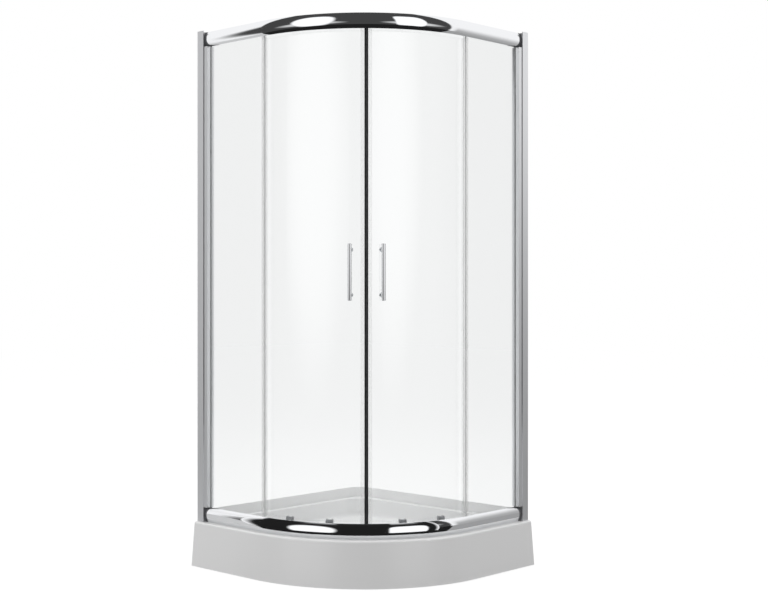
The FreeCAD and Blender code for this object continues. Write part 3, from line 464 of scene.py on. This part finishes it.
# %% Lamps
# (name, degrees from the diagonal, height, distance, size, watts), lengths in metres
LAMPS = (("lamp_above", 180, 4.8, 0.8, 3.0, 68),
         ("lamp_left", -70, 2.6, 4.5, 2.5, 38),
         ("lamp_right", 62, 2.2, 4.5, 2.5, 14))
LAMP_AIM = 0.9                # the height at which they point


def area_lamp(name, azimuth, height, distance, size, power):
    """A soft square lamp aimed at the middle of the object."""
    angle = math.radians(azimuth)
    out = math.cos(angle) * diagonal_out + math.sin(angle) * diagonal_right
    data = bpy.data.lights.new(name, "AREA")
    data.size = size
    data.energy = power
    lamp = bpy.data.objects.new(name, data)
    lamp.location = (out[0] * distance, out[1] * distance, height)
    aim = np.array([-out[0] * distance, -out[1] * distance, LAMP_AIM - height])
    aim = aim / np.linalg.norm(aim)
    lamp.rotation_euler = (math.acos(-aim[2]), 0, math.atan2(-aim[0], aim[1]))
    lamp.visible_glossy = False
    lamp.visible_transmission = False
    bpy.context.scene.collection.objects.link(lamp)


for lamp_values in LAMPS:
    area_lamp(*lamp_values)
print(len(LAMPS), "lamps")

# %% [markdown]
# Every finish starts from what the real piece is made of and how its surface was made. One shader
# serves all of them with other values, and a fine bump of noise gives each the unevenness that its
# making leaves. The waves of that noise have a real size in millimetres.

# %% Surface and grain
FINISHES = {}


def principled(tree, values):
    """The surface shader, linked to the output."""
    shader = add(tree, "ShaderNodeBsdfPrincipled", values)
    add(tree, "ShaderNodeOutputMaterial", {"Surface": shader.outputs[0]})
    return shader


def texture_space(tree, stretch=(1.0, 1.0, 1.0)):
    """Object coordinates, stretched along the axes."""
    place = add(tree, "ShaderNodeTexCoord")
    return add(tree, "ShaderNodeMapping", {"Vector": place.outputs["Object"], "Scale": stretch}).outputs[0]


def grain(tree, size_mm, strength, depth_mm, stretch=(1.0, 1.0, 1.0), detail=2.0):
    """Bump of noise whose waves are size_mm long; returns its normal and its height."""
    noise = add(tree, "ShaderNodeTexNoise", {"Vector": texture_space(tree, stretch),
                                             "Scale": 1000.0 / size_mm, "Detail": detail})
    bump = add(tree, "ShaderNodeBump", {"Strength": strength, "Distance": depth_mm * MM,
                                        "Height": noise.outputs["Fac"]})
    return bump.outputs["Normal"], noise.outputs["Fac"]


# %% [markdown]
# The tray is an acrylic sheet, drawn hot over a mould by vacuum. Plain glossy white would be too
# perfect: such a sheet wavers over some six centimetres, which only its reflections show.

# %% Acrylic


def acrylic():
    """Sanitary acrylic sheet, vacuum-formed: glossy white, with a faint waviness in reflections."""
    material, tree = new_tree("vacuum-formed white acrylic")
    normal, height = grain(tree, 60.0, 0.10, 0.10)
    rough = add(tree, "ShaderNodeMapRange", {"Value": height, "To Min": 0.26, "To Max": 0.34})
    principled(tree, {"Base Color": linear("#F2F2F2"), "IOR": 1.49, "Normal": normal,
                      "Roughness": rough.outputs["Result"]})
    return material


FINISHES["acrylic"] = acrylic()
print("acrylic ready")

# %% [markdown]
# Rails, handles and the waste's cover are bright chromium plate, a mirror with the faintest haze.
# The wall profiles and jambs are drawn aluminium, anodised. The die leaves fine upright lines on
# them, so their noise is stretched along Z.

# %% Chromium plate and anodised aluminium


def chrome():
    """Brass or steel with bright chromium plate: a mirror with the faintest haze."""
    material, tree = new_tree("bright chromium plate")
    normal, height = grain(tree, 25.0, 0.06, 0.02)
    rough = add(tree, "ShaderNodeMapRange", {"Value": height, "To Min": 0.03, "To Max": 0.07})
    principled(tree, {"Base Color": linear("#F2F3F5"), "Metallic": 1.0, "Normal": normal,
                      "Roughness": rough.outputs["Result"]})
    return material


def satin_aluminium():
    """Bright anodised extrusion: drawn lengthwise, so its fine lines run upright."""
    material, tree = new_tree("bright anodised aluminium")
    normal, height = grain(tree, 0.8, 0.15, 0.02, stretch=(1.0, 1.0, 0.004))
    rough = add(tree, "ShaderNodeMapRange", {"Value": height, "To Min": 0.24, "To Max": 0.36})
    principled(tree, {"Base Color": linear("#E2E3E5"), "Metallic": 1.0, "Normal": normal,
                      "Roughness": rough.outputs["Result"]})
    return material


FINISHES["chrome"] = chrome()
FINISHES["satin_aluminium"] = satin_aluminium()
print("chromium plate and aluminium ready")

# %% [markdown]
# Connectors, rollers, wheels, caps, foot pads and the waste are injection-moulded, and the waste's
# gasket and the rail's stops are rubber. The steel tool they are moulded in has a fine spark grain,
# which they take over. On the rollers and the magnetic strip it is drawn coarser than it is, because
# at their size in the picture it wouldn't show.

# %% Moulded plastics and rubber
ROUGH_SPREAD = 0.05           # how far the grain moves the roughness either way


def moulded(name, colour, roughness, size_mm=0.6):
    """Injection-moulded plastic with the fine spark grain of its tool."""
    material, tree = new_tree(name)
    normal, height = grain(tree, size_mm, 0.2, 0.03)
    rough = add(tree, "ShaderNodeMapRange", {"Value": height, "To Min": roughness - ROUGH_SPREAD,
                                             "To Max": roughness + ROUGH_SPREAD})
    principled(tree, {"Base Color": linear(colour), "IOR": 1.5, "Normal": normal,
                      "Roughness": rough.outputs["Result"]})
    return material


FINISHES["rubber"] = moulded("black rubber", "#242425", 0.6)
FINISHES["trap_plastic"] = moulded("white polypropylene", "#D8D9D8", 0.4)
FINISHES["dark_plastic"] = moulded("dark grey moulded plastic", "#5A5B5E", 0.35)
FINISHES["roller_plastic"] = moulded("mid-grey moulded plastic", "#ABACAF", 0.35, size_mm=3.0)
FINISHES["cap_plastic"] = moulded("grey moulded plastic", "#B9BABC", 0.35)
FINISHES["nylon"] = moulded("white nylon", "#D9D9D4", 0.35)
FINISHES["magnet_rubber"] = moulded("dark magnetic strip", "#222224", 0.45, size_mm=9.0)
print("moulded finishes ready")

# %% [markdown]
# The panes are toughened float glass. Its two faces are fire-polished and perfectly smooth, and its
# cut edges are ground, which leaves them pale and matt. An edge as clear as the faces comes out
# black here, so one material holds both surfaces and chooses by the direction a face looks in. That
# direction is read in the pane's own frame, so it stays right when a door slides.

# %% Glass
CUT_EDGE = 0.7                # cosine: a face turned further than this from across is a cut edge


def turned_away(tree, across):
    """1 where a face looks along the pane and not across it, so on its cut edges. The direction
    across is a fixed one for a flat pane, and outwards from the arc's centre for a curved one."""
    own = add(tree, "ShaderNodeTexCoord")
    if across is None:
        arm = add(tree, "ShaderNodeVectorMath", {0: own.outputs["Object"], 1: tuple(ARC_CENTRE)},
                  operation="SUBTRACT").outputs[0]
        level = add(tree, "ShaderNodeVectorMath", {0: arm, 1: (1.0, 1.0, 0.0)}, operation="MULTIPLY")
        across = add(tree, "ShaderNodeVectorMath", {0: level.outputs[0]}, operation="NORMALIZE").outputs[0]
    facing = add(tree, "ShaderNodeVectorMath", {0: own.outputs["Normal"], 1: across},
                 operation="DOT_PRODUCT").outputs["Value"]
    size = add(tree, "ShaderNodeMath", {0: facing}, operation="ABSOLUTE").outputs[0]
    return add(tree, "ShaderNodeMath", {0: size, 1: CUT_EDGE}, operation="LESS_THAN").outputs[0]


def glass(name, across):
    """Toughened float glass, 5 mm: fire-polished faces, ground edges. Lamp rays pass straight
    through it, so that what is behind it is lit."""
    material, tree = new_tree(name)
    body = add(tree, "ShaderNodeBsdfPrincipled", {"Base Color": linear("#F5F6F6"), "IOR": 1.52,
                                                  "Transmission Weight": 1.0, "Roughness": 0.0})
    ground = add(tree, "ShaderNodeBsdfPrincipled", {"Base Color": linear("#F6F8F7"), "IOR": 1.52,
                                                    "Roughness": 0.6, "Alpha": 0.92})
    surface = add(tree, "ShaderNodeMixShader", {0: turned_away(tree, across), 1: body.outputs[0],
                                                2: ground.outputs[0]})
    through = add(tree, "ShaderNodeBsdfTransparent", {"Color": linear("#F5F6F6")})
    path = add(tree, "ShaderNodeLightPath")
    shown = add(tree, "ShaderNodeMixShader", {0: path.outputs["Is Shadow Ray"], 1: surface.outputs[0],
                                              2: through.outputs[0]})
    add(tree, "ShaderNodeOutputMaterial", {"Surface": shown.outputs[0]})
    return material


FINISHES["clear_glass"] = glass("clear toughened glass, curved", None)
OWN_FINISHES = {
    "fixed_glass_left": glass("clear toughened glass, left", (0.0, 1.0, 0.0)),
    "fixed_glass_right": glass("clear toughened glass, right", (1.0, 0.0, 0.0)),
}
print("glass for curved panes and", len(OWN_FINISHES), "flat ones")

# %% [markdown]
# Seals and gaskets are clear flexible vinyl. Their thin walls hardly bend the light, so they are
# simply see-through, and those on the doors' edges more than the others, as they look in the
# photograph.

# %% Vinyl


def vinyl(name, alpha):
    """Clear flexible vinyl: thin walls that let most light through and look faintly grey."""
    material, tree = new_tree(name)
    normal, height = grain(tree, 12.0, 0.1, 0.05)
    tone = add(tree, "ShaderNodeMix", {0: height, 6: linear("#F2F3F3"), 7: linear("#FAFAFA")},
               data_type="RGBA")
    principled(tree, {"Base Color": tone.outputs[2], "IOR": 1.53, "Roughness": 0.25, "Normal": normal,
                      "Alpha": alpha})
    return material


FINISHES["clear_pvc"] = vinyl("clear flexible vinyl", 0.20)
for side in ("left", "right"):
    OWN_FINISHES[f"magnet_carrier_{side}"] = vinyl(f"thin clear vinyl, {side}", 0.06)
    OWN_FINISHES[f"door_edge_seal_{side}"] = OWN_FINISHES[f"magnet_carrier_{side}"]
print("vinyl ready")

# %% [markdown]
# Brackets, studs, nuts, screws and axles are zinc-plated steel, grey with soft cloudy patches. The
# base panel under the tray is raw chipboard, pressed from flakes a few millimetres long: the cells
# of a Voronoi pattern are the flakes, and grow paler away from their middles.

# %% Zinc-plated steel and chipboard


def zinc_steel():
    """Zinc-plated steel: grey, with soft cloudy patches of crystals."""
    material, tree = new_tree("zinc-plated steel")
    normal, height = grain(tree, 6.0, 0.1, 0.02)
    tone = add(tree, "ShaderNodeMix", {0: height, 6: linear("#9EA2A6"), 7: linear("#BCC0C3")},
               data_type="RGBA")
    principled(tree, {"Base Color": tone.outputs[2], "Metallic": 1.0, "Normal": normal,
                      "Roughness": 0.38})
    return material


def chipboard():
    """Raw chipboard: flakes a few millimetres long in several browns."""
    material, tree = new_tree("raw chipboard")
    flakes = add(tree, "ShaderNodeTexVoronoi", {"Vector": texture_space(tree, (1.0, 1.0, 2.5)),
                                                "Scale": 1000.0 / 5.0})
    tone = add(tree, "ShaderNodeMix", {0: flakes.outputs["Distance"], 6: linear("#8B6B45"),
                                       7: linear("#C7A878")}, data_type="RGBA")
    principled(tree, {"Base Color": tone.outputs[2], "Roughness": 0.85})
    return material


FINISHES["steel"] = zinc_steel()
FINISHES["board"] = chipboard()
print("steel and chipboard ready")

# %% [markdown]
# The record names a slot for each piece of the solid model. A piece gets the finish of its slot, or
# its own where its direction or its thickness asks for one.

# %% Finishes on the pieces
for entry in frame["record"]["subparts"]:
    piece = nodes[entry["node"]]
    finish = OWN_FINISHES.get(entry["node"], FINISHES[entry["material_slot"]])
    piece.data.materials.clear()
    piece.data.materials.append(finish)
print(len(FINISHES), "finishes on", len(nodes), "pieces")

# %% [markdown]
# The solid rails are made of flat facets, which a mirror finish would show. A plating skin on the
# crown of each has the true curve: quarter circle and straights in plan, an arc in section.

# %% Rail plating
RAIL_FACE = 530.0             # arc's centre to the crown
RAIL_BULGE = 8.0              # of the crown before its edges
RAIL_SKIN_END = 236.0         # how far the skin runs on each straight, up to the connector's cover
PLATING = 0.06                # above the solid's facets
ARC_END = 45.0                # degrees from the diagonal to the curve's end
ARC_STEPS = 181
STRAIGHT_STEPS = 12
CROWN_STEPS = 33


def rail_plating(name, rail):
    """Skin at distance c + R cos t and height m + R sin t, where R is the crown's radius and the
    tilt t runs from edge to edge."""
    low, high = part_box(rail)
    half_height = (high.z - low.z) / 2 / MM
    radius = (half_height ** 2 + RAIL_BULGE ** 2) / (2 * RAIL_BULGE)
    edge_tilt = math.asin(half_height / radius)
    angle = np.concatenate([np.full(STRAIGHT_STEPS, -ARC_END), np.linspace(-ARC_END, ARC_END, ARC_STEPS),
                            np.full(STRAIGHT_STEPS, ARC_END)])
    run = np.concatenate([np.linspace(-RAIL_SKIN_END, 0, STRAIGHT_STEPS + 1)[:-1], np.zeros(ARC_STEPS),
                          np.linspace(0, RAIL_SKIN_END, STRAIGHT_STEPS + 1)[1:]]) * MM
    tilt = np.linspace(-edge_tilt, edge_tilt, CROWN_STEPS)[None, :]
    distance = (RAIL_FACE - radius + (radius + PLATING) * np.cos(tilt)) * MM
    height = (low.z + high.z) / 2 + radius * np.sin(tilt) * MM
    shape = (angle.size, tilt.size)
    points = along_front(np.broadcast_to(angle[:, None], shape), np.broadcast_to(run[:, None], shape),
                         np.broadcast_to(distance, shape), np.broadcast_to(height, shape))
    skin = new_object(name, grid_mesh(name, points), FINISHES["chrome"])
    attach(skin, "root")
    return skin


for rail in ("top_rail", "bottom_rail"):
    plating = rail_plating(f"{rail}_plating", rail)
    print(plating.name, "has", len(plating.data.polygons), "faces")

# %% [markdown]
# Each foot stud is an M10 screw. A thread is one surface: its radius falls and rises with the
# height, and a turn round the axis shifts that by one pitch.

# %% Threads of the foot studs
THREAD_PITCH = 1.5
THREAD_DEPTH = 0.92
THREAD_ROWS = 6               # to one pitch
THREAD_SIDES = 28
JOIN_WITHIN = 0.001 * MM      # points closer than this are one
FOOT_PLACES = ((120, 120), (680, 140), (140, 680), (640, 460), (460, 640))   # from the two walls


def merged(mesh):
    """Joins the points that meet at a pole and turns the faces outwards."""
    shape = bmesh.new()
    shape.from_mesh(mesh)
    bmesh.ops.remove_doubles(shape, verts=shape.verts, dist=JOIN_WITHIN)
    bmesh.ops.recalc_face_normals(shape, faces=shape.faces)
    shape.to_mesh(mesh)
    shape.free()
    return mesh


def thread_points(centre, radius, low, high):
    """r = radius - depth |2 frac(z / pitch - turn) - 1|, closed by a point at either end."""
    rows = int((high - low) / THREAD_PITCH * THREAD_ROWS)
    height = np.linspace(low, high, rows)[:, None]
    turn = np.linspace(0, 1, THREAD_SIDES, endpoint=False)[None, :]
    wave = np.abs(2 * np.mod(height / THREAD_PITCH - turn, 1.0) - 1)
    size = radius - THREAD_DEPTH * wave
    height = np.broadcast_to(height, size.shape)
    size = np.concatenate([0 * size[:1], size, 0 * size[:1]])
    height = np.concatenate([height[:1], height, height[-1:]])
    x = centre[0] + size * np.cos(2 * math.pi * turn) * MM
    y = centre[1] + size * np.sin(2 * math.pi * turn) * MM
    return np.stack([x, y, height * MM], axis=-1)


def stud_threads():
    low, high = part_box("foot_studs")
    radius = (low.x - (CORNER[0] + FOOT_PLACES[0][0] * MM)) / -MM
    for number, (x, y) in enumerate(FOOT_PLACES):
        centre = (CORNER[0] + x * MM, CORNER[1] - y * MM)
        points = thread_points(centre, radius, low.z / MM, high.z / MM)
        name = f"foot_stud_thread_{number + 1}"
        stud = new_object(name, merged(grid_mesh(name, points, closed_v=True)), FINISHES["steel"])
        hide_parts("foot_studs")
        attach(stud, "root")


stud_threads()
print("threads of", len(FOOT_PLACES), "studs")

# %% [markdown]
# A spring clip in a groove keeps each wheel on its axle. It is a small ring round the axle's end.

# %% Axle clips
CLIP_RING = 3.1               # radius of the ring
CLIP_WIRE = 0.45              # radius of its wire
CLIP_BACK = 0.7               # behind the axle's end
WHEEL_HALF = 2.5              # half of a wheel's width
WHEEL_PLAY = 0.3              # beside it on the axle
AXLE_END = 1.2                # what the axle stands out past that
CLIP_OUT = WHEEL_HALF + WHEEL_PLAY + AXLE_END - CLIP_BACK   # from the wheel's middle
CLIP_STEPS = (36, 12)         # round the ring and round its wire


def clip_points(centre, axis, ring, wire):
    """Torus: centre + (ring + wire cos v)(cos u a + sin u b) + wire sin v axis, with a and b
    square to the axis."""
    axis = np.array(axis) / np.linalg.norm(axis)
    up = np.array([0.0, 0.0, 1.0])
    side = np.cross(up, axis)
    u = np.linspace(0, 2 * math.pi, CLIP_STEPS[0], endpoint=False)[:, None, None]
    v = np.linspace(0, 2 * math.pi, CLIP_STEPS[1], endpoint=False)[None, :, None]
    arm = np.cos(u) * side + np.sin(u) * up
    return np.array(centre) + ((ring + wire * np.cos(v)) * arm + wire * np.sin(v) * axis) * MM


def axle_clip(name, wheel, body):
    """Clip outside a wheel; the wheel's box gives its middle and its direction from the centre."""
    low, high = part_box(wheel)
    middle = (np.array(low) + np.array(high)) / 2
    along_axle = middle - ARC_CENTRE
    along_axle[2] = 0.0
    along_axle /= np.linalg.norm(along_axle)
    centre = middle + along_axle * (CLIP_OUT * MM)
    points = clip_points(centre, along_axle, CLIP_RING, CLIP_WIRE)
    mesh = merged(grid_mesh(name, points, closed_u=True, closed_v=True))
    clip = new_object(name, mesh, FINISHES["steel"])
    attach(clip, body)
    return clip


clips = []
for side in ("left", "right"):
    for place in ("inner", "outer"):
        clips.append(axle_clip(f"top_axle_clip_{place}_{side}", f"top_wheel_{place}_{side}",
                               f"door_{side}"))
        clips.append(axle_clip(f"bottom_axle_clip_{place}_{side}", f"bottom_wheel_{place}_{side}",
                               f"release_slide_{place}_{side}"))
print(len(clips), "axle clips")

# %% [markdown]
# The Standard view shows a colour about as it was written.

# %% Finish
bpy.context.scene.view_settings.view_transform = "Standard"
